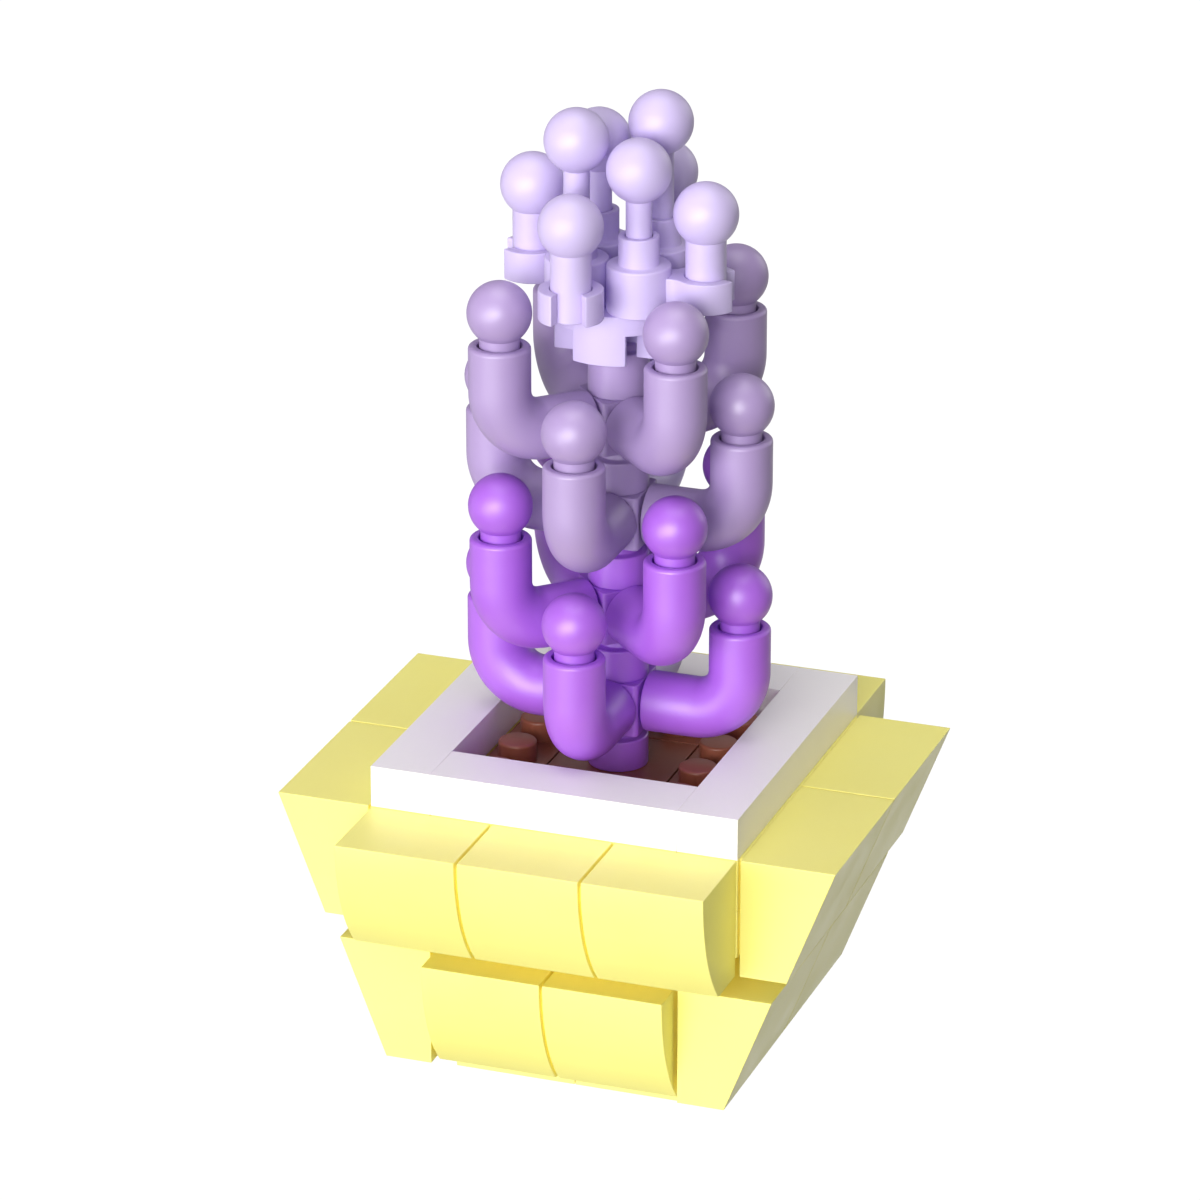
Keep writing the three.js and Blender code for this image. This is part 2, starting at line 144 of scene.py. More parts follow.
STREAK_SHARE = 0.5  # weight of the streaks beside the clouds
DULLER = 0.06  # how far the roughness rises in the dull patches
SMOOTHER = 0.05  # how far it falls between them
PEEL_SHARE = 1.4  # height of the wavy skin beside the fine grain
SCRATCH_SHARE = -0.5  # the same of the scratches, which are cut in
BUMP_STRENGTH = 0.06
BUMP_HEIGHT = 0.0001  # metres
PLASTIC_IOR = 1.5


def empty_material(name):
    """A new material without nodes, and its node tree's nodes and links."""
    material = bpy.data.materials.new(name)
    material.use_nodes = True
    tree = material.node_tree
    tree.nodes.clear()
    return material, tree.nodes, tree.links


def moulded_plastic(name, color, deep, rough, gloss):
    """Glossy moulded plastic: faint clouds of a deeper tone, uneven gloss, fine grain and hairline
    scratches. Both colours are linear. The scales of the noises are in cells to a metre."""
    material, nodes, links = empty_material(name)

    def add(kind, **values):
        node = nodes.new(kind)
        for key, value in values.items():
            setattr(node, key, value)
        return node

    def noise(scale, detail, roughness=0.5, stretch=None):
        texture = add("ShaderNodeTexNoise")
        texture.inputs["Scale"].default_value = scale
        texture.inputs["Detail"].default_value = detail
        texture.inputs["Roughness"].default_value = roughness
        place = where.outputs["Object"]
        if stretch:
            mapping = add("ShaderNodeMapping")
            mapping.inputs["Scale"].default_value = stretch
            links.new(place, mapping.inputs["Vector"])
            place = mapping.outputs["Vector"]
        links.new(place, texture.inputs["Vector"])
        return texture.outputs["Fac"]

    def ramp(source, start, end, low=0, high=1):
        """Low up to the start, high from the end on, and evenly from one to the other between."""
        node = add("ShaderNodeMapRange")
        node.inputs["From Min"].default_value = start
        node.inputs["From Max"].default_value = end
        node.inputs["To Min"].default_value = low
        node.inputs["To Max"].default_value = high
        links.new(source, node.inputs["Value"])
        return node.outputs["Result"]

    def weighted(source, share, base):
        """The source times its share, added to the base."""
        node = add("ShaderNodeMath", operation="MULTIPLY_ADD")
        links.new(source, node.inputs[0])
        node.inputs[1].default_value = share
        links.new(base, node.inputs[2])
        return node.outputs[0]

    out = add("ShaderNodeOutputMaterial")
    shader = add("ShaderNodeBsdfPrincipled")
    links.new(shader.outputs["BSDF"], out.inputs["Surface"])
    where = add("ShaderNodeTexCoord")

    # colour: soft clouds with a few streaks, as the melt leaves them
    clouds = noise(scale=55, detail=3)
    streaks = noise(scale=30, detail=2, roughness=0.6, stretch=(1, 1, 6))
    mix = add("ShaderNodeMix", data_type="RGBA")
    mix.inputs["A"].default_value = (*deep, 1)
    mix.inputs["B"].default_value = (*color, 1)
    tone = ramp(weighted(streaks, STREAK_SHARE, clouds), start=0.45, end=0.85)
    links.new(tone, mix.inputs["Factor"])
    links.new(mix.outputs["Result"], shader.inputs["Base Color"])

    # gloss: uneven, with dull finger-sized patches
    patches = noise(scale=140, detail=4, roughness=0.6)
    dull = ramp(patches, start=0.3, end=0.7, low=rough - SMOOTHER, high=rough + DULLER)
    links.new(dull, shader.inputs["Roughness"])

    # surface: a fine moulded grain on a wavy skin, with long shallow scratches
    grain = noise(scale=1500, detail=3, roughness=0.55)
    peel = noise(scale=260, detail=2)
    scratches = noise(scale=900, detail=1, roughness=0.4, stretch=(0.12, 1.7, 1.1))
    skin = weighted(peel, PEEL_SHARE, grain)
    height = weighted(ramp(scratches, start=0.62, end=0.7), SCRATCH_SHARE, skin)
    bump = add("ShaderNodeBump")
    bump.inputs["Strength"].default_value = BUMP_STRENGTH
    bump.inputs["Distance"].default_value = BUMP_HEIGHT
    links.new(height, bump.inputs["Height"])
    links.new(bump.outputs["Normal"], shader.inputs["Normal"])

    shader.inputs["IOR"].default_value = PLASTIC_IOR
    shader.inputs["Specular IOR Level"].default_value = gloss
    return material


PLASTICS = (
    # slot, name, colour, deeper tone, roughness, gloss
    ("pot_yellow", "yellow_plastic", (0.995, 0.925, 0.26), (0.985, 0.905, 0.24), 0.4, 0.6),
    ("rim_white", "white_plastic", (0.985, 0.955, 0.945), (0.97, 0.935, 0.925), 0.38, 0.6),
    ("soil_brown", "brown_plastic", (0.3, 0.09, 0.048), (0.25, 0.076, 0.04), 0.36, 0.55),
    ("floret_purple", "purple_plastic", (0.408, 0.12, 0.73), (0.383, 0.106, 0.7), 0.44, 1.2),
    ("floret_lilac", "lilac_plastic", (0.42, 0.302, 0.57), (0.4, 0.282, 0.55), 0.455, 1.15),
    ("floret_lavender", "lavender_plastic", (0.63, 0.527, 0.83), (0.61, 0.505, 0.82), 0.465, 0.88),
)
LOOKS = {slot: moulded_plastic(*values) for slot, *values in PLASTICS}

# ---------- mesh helpers ----------

SHARP = math.radians(28)  # least angle of an edge that is rounded
BLUNT = math.radians(40)  # the same on the crown and the clips, where arcs have fewer sides
CORNER = math.radians(60)  # the same where an edge that is round already is passed over
SPLIT = math.radians(50)  # least angle of an edge that is shaded as a crease
FILLET_STEPS = 4
WELD = 1e-4  # points this near one another are one
NORMAL_WEIGHT = 80
ROUND_SIDES = 56  # sides of the tubes, balls and round bricks
STUD_SIDES = 48
PEG_SIDES = 32
SUNK_EDGE = 0.1  # fillet of an end that is sunk into another shape
ROUND_EDGE = 0.25  # fillet of a round brick's top
COLLAR_EDGE = 0.15  # fillet of its collar's top
CHAMFER = 0.1  # at the foot of a collar and at the top of its bore


def new_mesh(vertices, faces):
    mesh = bmesh.new()
    points = [mesh.verts.new(v) for v in vertices]
    for face in faces:
        mesh.faces.new([points[i] for i in face])
    bmesh.ops.recalc_face_normals(mesh, faces=mesh.faces)
    return mesh


def new_object(name, mesh):
    """An object in the scene made from a mesh, which is used up."""
    data = bpy.data.meshes.new(name)
    mesh.to_mesh(data)
    mesh.free()
    made = bpy.data.objects.new(name, data)
    bpy.context.collection.objects.link(made)
    return made


def in_order(mesh):
    """Sorts a mesh by place, because a bevel leaves its parts in an order that varies by run."""
    for parts in (mesh.verts, mesh.edges, mesh.faces):
        parts.index_update()
        places = [sorted(tuple(v.co) for v in getattr(part, "verts", [part])) for part in parts]
        order = sorted(range(len(places)), key=places.__getitem__)
        ranks = {index: rank for rank, index in enumerate(order)}
        parts.sort(key=lambda part: ranks[part.index])
        parts.index_update()


def round_edges(mesh, width, segments=2, angle=SHARP, choose=None):
    """Rounds every edge that is sharper than the angle, or those of them that are chosen."""
    edges = [e for e in mesh.edges if len(e.link_faces) == 2 and e.calc_face_angle() > angle]
    if choose:
        edges = [e for e in edges if choose(e)]
    bmesh.ops.bevel(
        mesh,
        geom=edges,
        offset=width,
        offset_type="OFFSET",
        segments=segments,
        profile=0.5,
        affect="EDGES",
        clamp_overlap=True,
        harden_normals=False,
    )
    in_order(mesh)
    bmesh.ops.recalc_face_normals(mesh, faces=mesh.faces)


def arc(centre, radius, start, end, steps):
    """Points of an arc in a plane, from one angle to another in degrees, both ends included."""
    cx, cy = centre
    angles = [math.radians(start + (end - start) * i / steps) for i in range(steps + 1)]
    return [(cx + radius * math.cos(a), cy + radius * math.sin(a)) for a in angles]


def circle(radius, sides):
    return arc((0, 0), radius, 0, 360, sides)[:-1]


def rectangle(x0, y0, x1, y1):
    return [(x0, y0), (x1, y0), (x1, y1), (x0, y1)]


def prism(outline, bottom, top):
    """An outline in X and Y, drawn up along Z."""
    count = len(outline)
    vertices = [(x, y, bottom) for x, y in outline] + [(x, y, top) for x, y in outline]
    sides = [(i, (i + 1) % count, count + (i + 1) % count, count + i) for i in range(count)]
    return new_mesh(vertices, [tuple(range(count)), tuple(range(count, 2 * count)), *sides])


def slab(low, high):
    (x0, y0, z0), (x1, y1, z1) = low, high
    return prism(rectangle(x0, y0, x1, y1), z0, z1)


def skinned(rings, sides):
    """A closed mesh over rings of points. The first and the last ring are a single point."""
    vertices, loops = [], []
    for ring in rings:
        loops.append(range(len(vertices), len(vertices) + len(ring)))
        vertices += ring
    faces = []
    for low, high in zip(loops, loops[1:]):
        for i in range(sides):
            j = (i + 1) % sides
            ends = [loop[k % len(loop)] for loop, k in ((low, i), (low, j), (high, j), (high, i))]
            faces.append(tuple(dict.fromkeys(ends)))
    return new_mesh(vertices, faces)


def lathe(profile, sides=ROUND_SIDES):
    """A profile of (radius, height) points turned about Z. It starts and ends on the axis."""
    rings = [
        [(x, y, z) for x, y in circle(radius, sides)] if radius else [(0, 0, z)]
        for radius, z in profile
    ]
    return skinned(rings, sides)


def low_rim(radius, z, fillet):
    """Points of a rounded rim, from a flat bottom out to the upright side."""
    return arc((radius - fillet, z + fillet), fillet, -90, 0, FILLET_STEPS)


def high_rim(radius, z, fillet):
    """Points of a rounded rim, from the upright side over to a flat top."""
    return arc((radius - fillet, z - fillet), fillet, 0, 90, FILLET_STEPS)


def stud(radius, bottom, top, fillet, sides):
    """A stud along Z. Its bottom is sunk into what carries it."""
    profile = [*low_rim(radius, bottom, SUNK_EDGE), *high_rim(radius, top, fillet)]
    return lathe([(0, bottom), *profile, (0, top)], sides)


def collared(radius, bottom, shoulder, top, foot_fillet):
    """The profile of a round brick and the collar on it, from the axis to the collar's top."""
    return [
        (0, bottom),
        *low_rim(radius, bottom, foot_fillet),
        *high_rim(radius, shoulder, ROUND_EDGE),
        (COLLAR_R + CHAMFER, shoulder),
        (COLLAR_R, shoulder + CHAMFER),
        *high_rim(COLLAR_R, top, COLLAR_EDGE),
    ]


def combined(operation, meshes):
    """One closed mesh from several: the others are joined to the first one or cut out of it."""
    objects = [new_object("part", mesh) for mesh in meshes]
    for other in objects[1:]:
        boolean = objects[0].modifiers.new("boolean", "BOOLEAN")
        boolean.operation = operation
        boolean.solver = "EXACT"
        boolean.object = other
    result = bmesh.new()
    result.from_object(objects[0], bpy.context.evaluated_depsgraph_get())
    for thing in objects:
        data = thing.data
        bpy.data.objects.remove(thing)
        bpy.data.meshes.remove(data)
    bmesh.ops.remove_doubles(result, verts=result.verts, dist=WELD)
    bmesh.ops.dissolve_degenerate(result, edges=result.edges, dist=WELD)
    bmesh.ops.recalc_face_normals(result, faces=result.faces)
    return result


def joined(*meshes):
    return combined("UNION", meshes)


def less(mesh, *tools):
    return combined("DIFFERENCE", (mesh, *tools))


def turned(degrees, z=0):
    return Matrix.Translation((0, 0, z)) @ Matrix.Rotation(math.radians(degrees), 4, "Z")


def shifted(x, y, z):
    return Matrix.Translation((x, y, z))


def piece(name, mesh, where, slot, node):
    """Puts a mesh in place as a piece of the object, standing for a node."""
    mesh.transform(Matrix.Scale(MM, 4) @ where)
    made = new_object(name, mesh)
    for face in made.data.polygons:
        face.use_smooth = True
    made.data.set_sharp_from_angle(angle=SPLIT)
    made.data.materials.append(LOOKS[slot])
    normals = made.modifiers.new("even_normals", "WEIGHTED_NORMAL")
    normals.keep_sharp = True
    normals.weight = NORMAL_WEIGHT
    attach(made, "root")
    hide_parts(node)


# ---------- the pot's blocks ----------

BLOCK_EDGE = 0.12  # fillet of a block's edges
MEETING_EDGE = 0.03  # the same where a block meets its neighbours
SLOPE_REACH = 0.12  # how far a side block reaches into the gap between the tiers
CURVE_BACK = 0.04  # gap behind a curved block
CURVE_SEAM = (0.19, 0.9)  # what a block's wall is cut back at an end, and its thickness
SLOPE_SEAM = (0.15, 2.2)  # the same for a side block
SEAM_FLOOR = 0.03  # what is left open behind the walls, at either side of a seam
CURVE_STEPS = 28
HEART_IN = 1  # how far a block's heart is in from its back, its foot and a free end
HEART_FOOT = 0.05  # how far a curved heart's foot is in from the point above it
HEART_TIP = 0.01  # how far its top edge is out from the point below it
AT_FACE = 0.01  # a point this near a face is on it


def pot_block(studs, curved, upper, joins_low, joins_high):
    """A block that lies against X = 0 and stands out along +X, with its foot at Z = 0. At an end
    that joins a like block its heart reaches on behind the wall, so the seam is shallow."""
    near = CURVE_BACK if curved else FIT
    seam, wall = CURVE_SEAM if curved else SLOPE_SEAM
    half = studs * STUD / 2 - seam
    foot, top = BLOCK_FOOT + FIT, BLOCK_TOP + FIT
    if curved:
        foot_z, top_z = 0, TIER_HEIGHT
        step_in = BLOCK_TOP - BLOCK_FOOT
        radius = (TIER_HEIGHT**2 + step_in**2) / (2 * step_in)
        sweep = math.asin(TIER_HEIGHT / radius)
        outer = [(foot, 0)]
        for i in range(1, CURVE_STEPS + 1):
            angle = sweep * (1 - i / CURVE_STEPS)
            in_x, down_z = radius * (1 - math.cos(angle)), radius * math.sin(angle)
            outer.append((top - in_x, TIER_HEIGHT - down_z))
    else:
        foot_z = -SLOPE_REACH if upper else 0
        top_z = TIER_HEIGHT if upper else TIER_HEIGHT + SLOPE_REACH
        slope = (top - foot) / TIER_HEIGHT
        outer = [(foot + slope * z, z) for z in (foot_z, top_z)]
    mesh = prism([(near, foot_z), *outer, (near, top_z)], -half, half)

    def meets(edge):
        at_foot = all(v.co.y < foot_z + AT_FACE for v in edge.verts)
        return at_foot or (not curved and all(v.co.x < near + AT_FACE for v in edge.verts))

    round_edges(mesh, MEETING_EDGE, choose=meets)
    round_edges(mesh, BLOCK_EDGE, 3, CORNER)

    back, low, high = near + HEART_IN, HEART_IN, TIER_HEIGHT - wall
    inner = [(x - wall, z) for x, z in outer if low < z < high]
    if curved:
        low_x, high_x = inner[0][0] - HEART_FOOT, inner[-1][0]
    else:
        low_x, high_x = (foot + slope * z - wall for z in (low, high))
    inner = [(back, low), (low_x, low), *inner, (high_x + HEART_TIP, high), (back, high)]
    reach = half + seam - SEAM_FLOOR
    start = -reach if joins_high else HEART_IN - half
    end = reach if joins_low else half - HEART_IN
    mesh = joined(mesh, prism(inner, start, end))
    # the prism's Z becomes -Y, and its Y becomes Z
    mesh.transform(Matrix.Rotation(math.pi / 2, 4, "X"))
    return mesh


# studs a block, whether curved, and the blocks' middles
SIDE_ROW = (3, False, (-1.5 * STUD, 1.5 * STUD))
UPPER_END_ROW = (2, True, (-2 * STUD, 0, 2 * STUD))
LOWER_END_ROW = (2, True, (-STUD, STUD))
ROWS = (
    # name, quarter turns, bottom, the core's half width, blocks
    ("upper_right", 0, UPPER_Z, CORE_UPPER, SIDE_ROW),
    ("upper_left", 2, UPPER_Z, CORE_UPPER, SIDE_ROW),
    ("upper_back", 1, UPPER_Z, CORE_UPPER, UPPER_END_ROW),
    ("upper_front", 3, UPPER_Z, CORE_UPPER, UPPER_END_ROW),
    ("lower_right", 0, LOWER_Z, CORE_LOWER, SIDE_ROW),
    ("lower_left", 2, LOWER_Z, CORE_LOWER, SIDE_ROW),
    ("lower_back", 1, LOWER_Z, CORE_LOWER, LOWER_END_ROW),
    ("lower_front", 3, LOWER_Z, CORE_LOWER, LOWER_END_ROW),
)
for row, turn, bottom, out, (studs, curved, middles) in ROWS:
    look, kind = ("curve", "curved") if curved else ("slope", "side")
    for i, middle in enumerate(middles, 1):
        where = turned(90 * turn, bottom) @ shifted(out, middle, 0)
        mesh = pot_block(studs, curved, row.startswith("upper"), i > 1, i < len(middles))
        piece(f"{look}_{row}_{i}", mesh, where, "pot_yellow", f"{kind}_block_{row}_{i}")

# ---------- the core and the rim ----------

SET_BACK_RISE = 2.4  # top of the brick between the tiers above the upper tier's foot
WIDE_HEIGHT = 6.3  # height of the wide brick on it
CORE_EDGE = 0.08
PLATE_GAP = 0.05  # half the gap between the base plates
WALL_SEAM = 0.06  # gap under the walls
RIM_BED = 0.03  # gap between the walls and the rim
SHIM = 0.25  # how far the core fills the gap behind the side blocks
SHIM_END = 23  # how far from the middle it fills it
WALL_INNER = CORE_LOWER + 0.15  # half the room between the walls, which stand back under the rim
RIM_EDGE = 0.12
RIM_SEAM = 0.03  # gap between the strips
RIM_SEAM_EDGE = 0.04  # fillet there and at the rim's foot
NEAR = 0.5  # an edge's middle this near a place is at it

SET_BACK_TOP = UPPER_Z + SET_BACK_RISE
WALL_Z = SET_BACK_TOP + WIDE_HEIGHT
BED_Z = WALL_Z - WALL_SEAM


def half_turn(outline):
    return [(-x, -y) for x, y in outline]


def square(half_x, half_y, x=0):
    return rectangle(x - half_x, -half_y, x + half_x, half_y)


def core_piece(name, outline, bottom, top):
    mesh = prism(outline, bottom, top)
    round_edges(mesh, CORE_EDGE)
    piece(name, mesh, IN_PLACE, "pot_yellow", "pot_core")


# a base of two plates, a brick, the brick set back between the tiers, a wide brick on it, and on
# that a bed for the soil and the walls
right_side = [
    (CORE_UPPER, -CORE_UPPER),
    (CORE_UPPER, -SHIM_END),
    (CORE_UPPER + SHIM, -SHIM_END),
    (CORE_UPPER + SHIM, SHIM_END),
    (CORE_UPPER, SHIM_END),
    (CORE_UPPER, CORE_UPPER),
]
lower = square(CORE_LOWER, CORE_LOWER)
for side, x in (("left", -CORE_LOWER / 2), ("right", CORE_LOWER / 2)):
    plate = square(CORE_LOWER / 2 - PLATE_GAP, CORE_LOWER, x)
    core_piece(f"base_plate_{side}", plate, 0, BASE_HEIGHT - SEAM)
core_piece("core_lower", lower, LOWER_Z, GAP_Z)
core_piece("core_set_back", lower, GAP_Z, SET_BACK_TOP)
core_piece("core_wide", right_side + half_turn(right_side), SET_BACK_TOP, BED_Z)
core_piece("core_bed", lower, BED_Z, SOIL_Z - SOIL_THICK)


def rim_strip(low, high):
    """A strip of the rim. Its edges where it meets another strip or the pot are nearly sharp."""
    mesh = slab(low, high)

    def meets(edge):
        middle = (edge.verts[0].co + edge.verts[1].co) / 2
        if middle.z < low[2] + NEAR:
            return True
        at_end = any(abs(abs(middle[k]) - CORE_LOWER) < NEAR for k in (0, 1))
        return at_end and max(abs(middle.x), abs(middle.y)) >= CORE_LOWER + NEAR

    round_edges(mesh, RIM_SEAM_EDGE, choose=meets)
    round_edges(mesh, RIM_EDGE, 3, CORNER)
    return mesh


right_wall = [*right_side, (WALL_INNER, CORE_UPPER), (WALL_INNER, -CORE_UPPER)]
front_wall = rectangle(-CORE_LOWER, -CORE_UPPER, CORE_LOWER, -WALL_INNER)
back_wall = rectangle(-CORE_LOWER, WALL_INNER, CORE_LOWER, CORE_UPPER)
WALLS = (
    # side, wall, and the corners of the place that the rim's strip has
    ("right", right_wall, (CORE_LOWER, -CORE_UPPER), (CORE_UPPER, CORE_UPPER)),
    ("left", half_turn(right_wall), (-CORE_UPPER, -CORE_UPPER), (-CORE_LOWER, CORE_UPPER)),
    ("front", front_wall, (-CORE_LOWER, -CORE_UPPER), (CORE_LOWER, -CORE_LOWER)),
    ("back", back_wall, (-CORE_LOWER, CORE_LOWER), (CORE_LOWER, CORE_UPPER)),
)
for side, wall, (x0, y0), (x1, y1) in WALLS:
    core_piece(f"core_wall_{side}", wall, WALL_Z, POT_Z - RIM_BED)
    # the end strips reach out of their place, to a narrow seam at the side strips
    in_x = RIM_SEAM - SEAM if side in ("front", "back") else SEAM
    strip = rim_strip((x0 + in_x, y0 + SEAM, POT_Z), (x1 - in_x, y1 - SEAM, TOP_Z))
    piece(f"rim_strip_{side}", strip, IN_PLACE, "rim_white", f"rim_{side}")

# ---------- the soil ----------

SOIL_EDGE = 0.12
SOIL_GAP = 0.03  # gap between the soil and the rim
SOIL_STUD_EDGE = 0.35
OUTER_STUD = 1.5 * STUD
INNER_STUD = 0.5 * STUD


def soil_plate(low, high, studs):
    def at(value, inset):
        at_rim = abs(value) == CORE_LOWER
        return value - math.copysign(SOIL_GAP, value) if at_rim else value + inset

    body = slab(
        (at(low[0], SEAM), at(low[1], SEAM), SOIL_Z - SOIL_THICK),
        (at(high[0], -SEAM), at(high[1], -SEAM), SOIL_Z),
    )
    round_edges(body, SOIL_EDGE)
    rounds = []
    for x, y in studs:
        top = SOIL_Z + SOIL_STUD
        rounds.append(stud(STUD_R, SOIL_Z - SINK, top, SOIL_STUD_EDGE, STUD_SIDES))
        rounds[-1].transform(shifted(x, y, 0))
    return joined(body, *rounds) if rounds else body


def in_column(x):
    return [(x, y) for y in (-OUTER_STUD, -INNER_STUD, INNER_STUD, OUTER_STUD)]


def in_row(y):
    return [(-INNER_STUD, y), (INNER_STUD, y)]


PLATES = (
    # name, corners, studs, node
    ("left", (-CORE_LOWER, -CORE_LOWER), (-STUD, CORE_LOWER), in_column(-OUTER_STUD), "left"),
    ("right", (STUD, -CORE_LOWER), (CORE_LOWER, CORE_LOWER), in_column(OUTER_STUD), "right"),
    ("front", (-STUD, -CORE_LOWER), (STUD, -STUD), in_row(-OUTER_STUD), "middle"),
    ("back", (-STUD, STUD), (STUD, CORE_LOWER), in_row(OUTER_STUD), "middle"),
    ("centre", (-STUD, -STUD), (STUD, STUD), [], "middle"),
)
for name, low, high, studs, node in PLATES:
    plate = soil_plate(low, high, studs)
    piece(f"soil_plate_{name}", plate, IN_PLACE, "soil_brown", f"soil_{node}")

# ---------- the stem ----------

CUBE_ROUND = 0.6  # radius of the square brick's upright corners
CUBE_EDGE = 0.18
PEG_EDGE = 0.2
ROUND_FOOT_EDGE = 0.15
COLLAR_SHOWS = 0.4  # how much lower than its solid a round brick is, so that its collar shows


def round_brick(bottom, shoulder, top):
    profile = collared(ROUND_R, bottom, shoulder, top, ROUND_FOOT_EDGE)
    return lathe([*profile, (0, top)])


def stem_cube():
    """The square brick of a tier, with a stud on each side, about the origin of the tube axes."""
    inset = CUBE_HALF - CUBE_ROUND
    outline = []
    for x, y, start in ((1, 1, 0), (-1, 1, 90), (-1, -1, 180), (1, -1, 270)):
        outline += arc((x * inset, y * inset), CUBE_ROUND, start, start + 90, 5)
    body = prism(outline, -CUBE_BELOW, CUBE_ABOVE)
    round_edges(body, CUBE_EDGE, 3, CORNER)
    pegs = []
    for i in range(AROUND):
        pegs.append(stud(PEG_R, CUBE_HALF - SINK, CUBE_HALF + PEG_LENGTH, PEG_EDGE, PEG_SIDES))
        pegs[-1].transform(turned(90 * i) @ Matrix.Rotation(math.pi / 2, 4, "Y"))
    return joined(body, *pegs)


foot = round_brick(SOIL_Z, SOIL_Z + LOWEST_ROUND, LEG_Z - CUBE_BELOW)
piece("stem_foot", foot, IN_PLACE, "floret_purple", "stem_base")

# ---------- the florets ----------

BEND_STEPS = 20
TUBE_BORE = 2.78  # radius of the tube's mouth inside
TUBE_BORE_DEPTH = 3
TUBE_FOOT_LIP = 0.25  # fillets of the tube's end at the stem, and of its mouth outside and inside
MOUTH_LIP = 0.5
BORE_LIP = 0.15
PIN_IN_TUBE = 2.6  # how deep a floret's pin stands in its tube
PIN_EDGE = 0.2
BALL_STEPS = 26
BALL_START = 0.12  # how far out from a pin's side its ball begins
# the fillet between them: out from the pin's side, and down from where the ball begins
NECK = ((0, 0.14), (0.03, 0.05))


def tube_mesh():
    """An elbow tube: out along X from the stem, round the bend and up to a rounded mouth."""
    start, bend = CUBE_HALF + FIT, FLORET_R - BEND_R
    floor_z = MOUTH_RISE - TUBE_BORE_DEPTH
    # each ring: centre's x and z, degrees turned up from facing +X, radius
    rings = [(start + SOCKET_DEPTH, 0, 0, radius) for radius in (0, SOCKET_R)]
    rings.append((start, 0, 0, SOCKET_R))
    for out, along in arc((0, 0), TUBE_FOOT_LIP, 90, 0, 3):
        rings.append((start + TUBE_FOOT_LIP - along, 0, 0, TUBE_R - TUBE_FOOT_LIP + out))
    for i in range(BEND_STEPS + 1):
        angle = 90 * i / BEND_STEPS
        x, z = math.sin(math.radians(angle)), 1 - math.cos(math.radians(angle))
        rings.append((bend + BEND_R * x, BEND_R * z, angle, TUBE_R))
    for out, up in arc((0, 0), MOUTH_LIP, 0, 90, 5):
        rings.append((FLORET_R, MOUTH_RISE - MOUTH_LIP + up, 90, TUBE_R - MOUTH_LIP + out))
    for out, up in arc((0, 0), BORE_LIP, 90, 180, 3):
        rings.append((FLORET_R, MOUTH_RISE - BORE_LIP + up, 90, TUBE_BORE + BORE_LIP + out))
    rings += [(FLORET_R, floor_z, 90, radius) for radius in (TUBE_BORE, 0)]

    def points(cx, cz, tilt, radius):
        if not radius:
            return [(cx, 0, cz)]
        lean, rise = math.sin(math.radians(tilt)), math.cos(math.radians(tilt))
        around = circle(radius, ROUND_SIDES)
        return [(cx - across * lean, side, cz + across * rise) for across, side in around]

    return skinned([points(*ring) for ring in rings], ROUND_SIDES)


def ball_mesh(pin_r, pin_length):
    """A ball about the origin on a pin that hangs down from it, with a small fillet between."""
    meet = 180 - math.degrees(math.asin((pin_r + BALL_START) / BALL_R))
    angles = [math.radians(meet * (1 - i / BALL_STEPS)) for i in range(BALL_STEPS)]
    sphere = [(BALL_R * math.sin(a), BALL_R * math.cos(a)) for a in angles]
    pin = low_rim(pin_r, -pin_length, PIN_EDGE)
    neck = [(pin_r + out, sphere[0][1] - down) for out, down in NECK]
    return lathe([(0, -pin_length), *pin, *neck, *sphere, (0, BALL_R)])


for tier in range(TIERS):
    axis_z = LEG_Z + TIER_PITCH * tier
    slot = "floret_purple" if tier < TIERS / 2 else "floret_lilac"
    if tier == TIERS - 1:
        height, collar_top = HIGHEST_ROUND, CROWN_Z + CROWN_RECESS
    else:
        height, collar_top = ROUND_HEIGHT - COLLAR_SHOWS, axis_z + TIER_PITCH - CUBE_BELOW
    # every other tier is turned by an eighth
    about = turned(tier % 2 * 45, axis_z)
    node = f"stem_tier_{tier + 1}"
    piece(f"stem_cube_{tier + 1}", stem_cube(), about, slot, node)
    shoulder = axis_z + CUBE_ABOVE + height
    brick = round_brick(axis_z + CUBE_ABOVE, shoulder, collar_top)
    piece(f"stem_round_{tier + 1}", brick, IN_PLACE, slot, node)
    for i in range(AROUND):
        # the back floret of the first and third tier is paler
        tone = "floret_lavender" if tier % 2 == 0 and i == 1 else slot
        name = f"{tier + 1}_{i + 1}"
        spoke = about @ turned(90 * i)
        piece(f"tube_{name}", tube_mesh(), spoke, tone, f"floret_{name}")
        where = spoke @ shifted(FLORET_R, 0, MOUTH_RISE + BALL_RISE)
        ball = ball_mesh(COLLAR_R, BALL_RISE + PIN_IN_TUBE)
        piece(f"ball_{name}", ball, where, tone, f"floret_{name}")

# ---------- the top cluster ----------

CROWN_SIDES = 120
CROWN_EDGE = 0.1
HOLLOW = (0.5, -6.6, 3.5, -0.5)  # lowest and highest corner, beside a notch at the front
FLAT = math.radians(1)  # faces that meet at less are one
CLIP_SIDES = 64
CLIP_BORE = THIN_R + 0.07  # radius of the hole for a thin pin
CLIP_INNER = THICK_R + 0.08  # radius of the clip inside
CLIP_EDGE = 0.16
CLIP_FOOT_EDGE = 0.2
CLIP_ARM = 105  # degrees from the mouth's middle to where the outer arc begins
CLIP_LIP = 31  # the same to where it ends
# the side of a clip's neck, out from the brick's axis to the outer arc
NECK_SIDE = (
    (3, CLIP_NECK),
    (3.6, CLIP_NECK),
    (4.1, CLIP_NECK),
    (4.5, 2.08),
    (4.9, 2.36),
    (5.3, 2.72),
    (5.7, 3.08),
    (6.1, 3.4),
    (6.55, 3.68),
)


